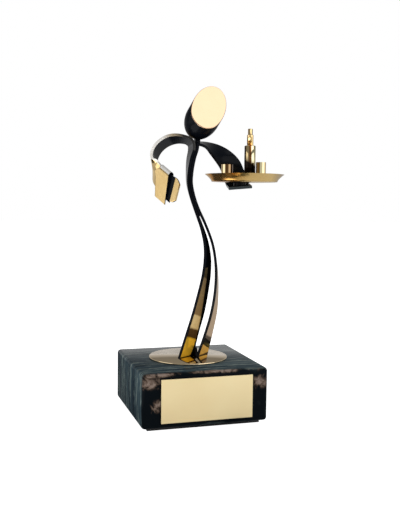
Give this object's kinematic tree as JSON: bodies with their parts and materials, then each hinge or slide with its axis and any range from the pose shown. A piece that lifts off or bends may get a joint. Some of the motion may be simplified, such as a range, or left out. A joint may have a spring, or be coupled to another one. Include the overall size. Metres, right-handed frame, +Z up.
{
  "type": "figure trophy",
  "caption": "Trophy figure of a waiter in bent strip metal with a tray, bottle and cups in one hand and a napkin over the other arm, on a square stone base with a blank plate.",
  "frame": {"origin": "centre of the underside of the base pad, which rests on the table", "axes": "+Z up, the name plate faces -Y, the tray is on the +X side"},
  "size_m": [0.1153, 0.1134, 0.2664],
  "materials": {
    "polished_brass": "mirror-polished brass with black lacquer on the inner and left-hand faces",
    "satin_gold": "satin gilt",
    "dark_marble": null,
    "felt": "matt black felt",
    "tape": "grey foam adhesive tape",
    "steel": "plain steel"
  },
  "bodies": {
    "root": {"marble_base": "dark_marble", "base_pad": "felt", "name_plate": "satin_gold", "plate_tape": "tape", "foot_disc": "satin_gold", "base_stud": "steel", "base_washer": "steel", "base_nut": "steel", "left_strip": "polished_brass", "right_leg_strip": "polished_brass", "right_arm_strip": "polished_brass", "head": "polished_brass", "neck_pin": "polished_brass", "napkin": "satin_gold", "tray": "polished_brass", "tray_collar": "polished_brass", "tray_rivet": "polished_brass", "bottle_body": "polished_brass", "bottle_neck": "polished_brass", "cup_left": "polished_brass", "cup_right": "polished_brass"}
  },
  "joints": []
}
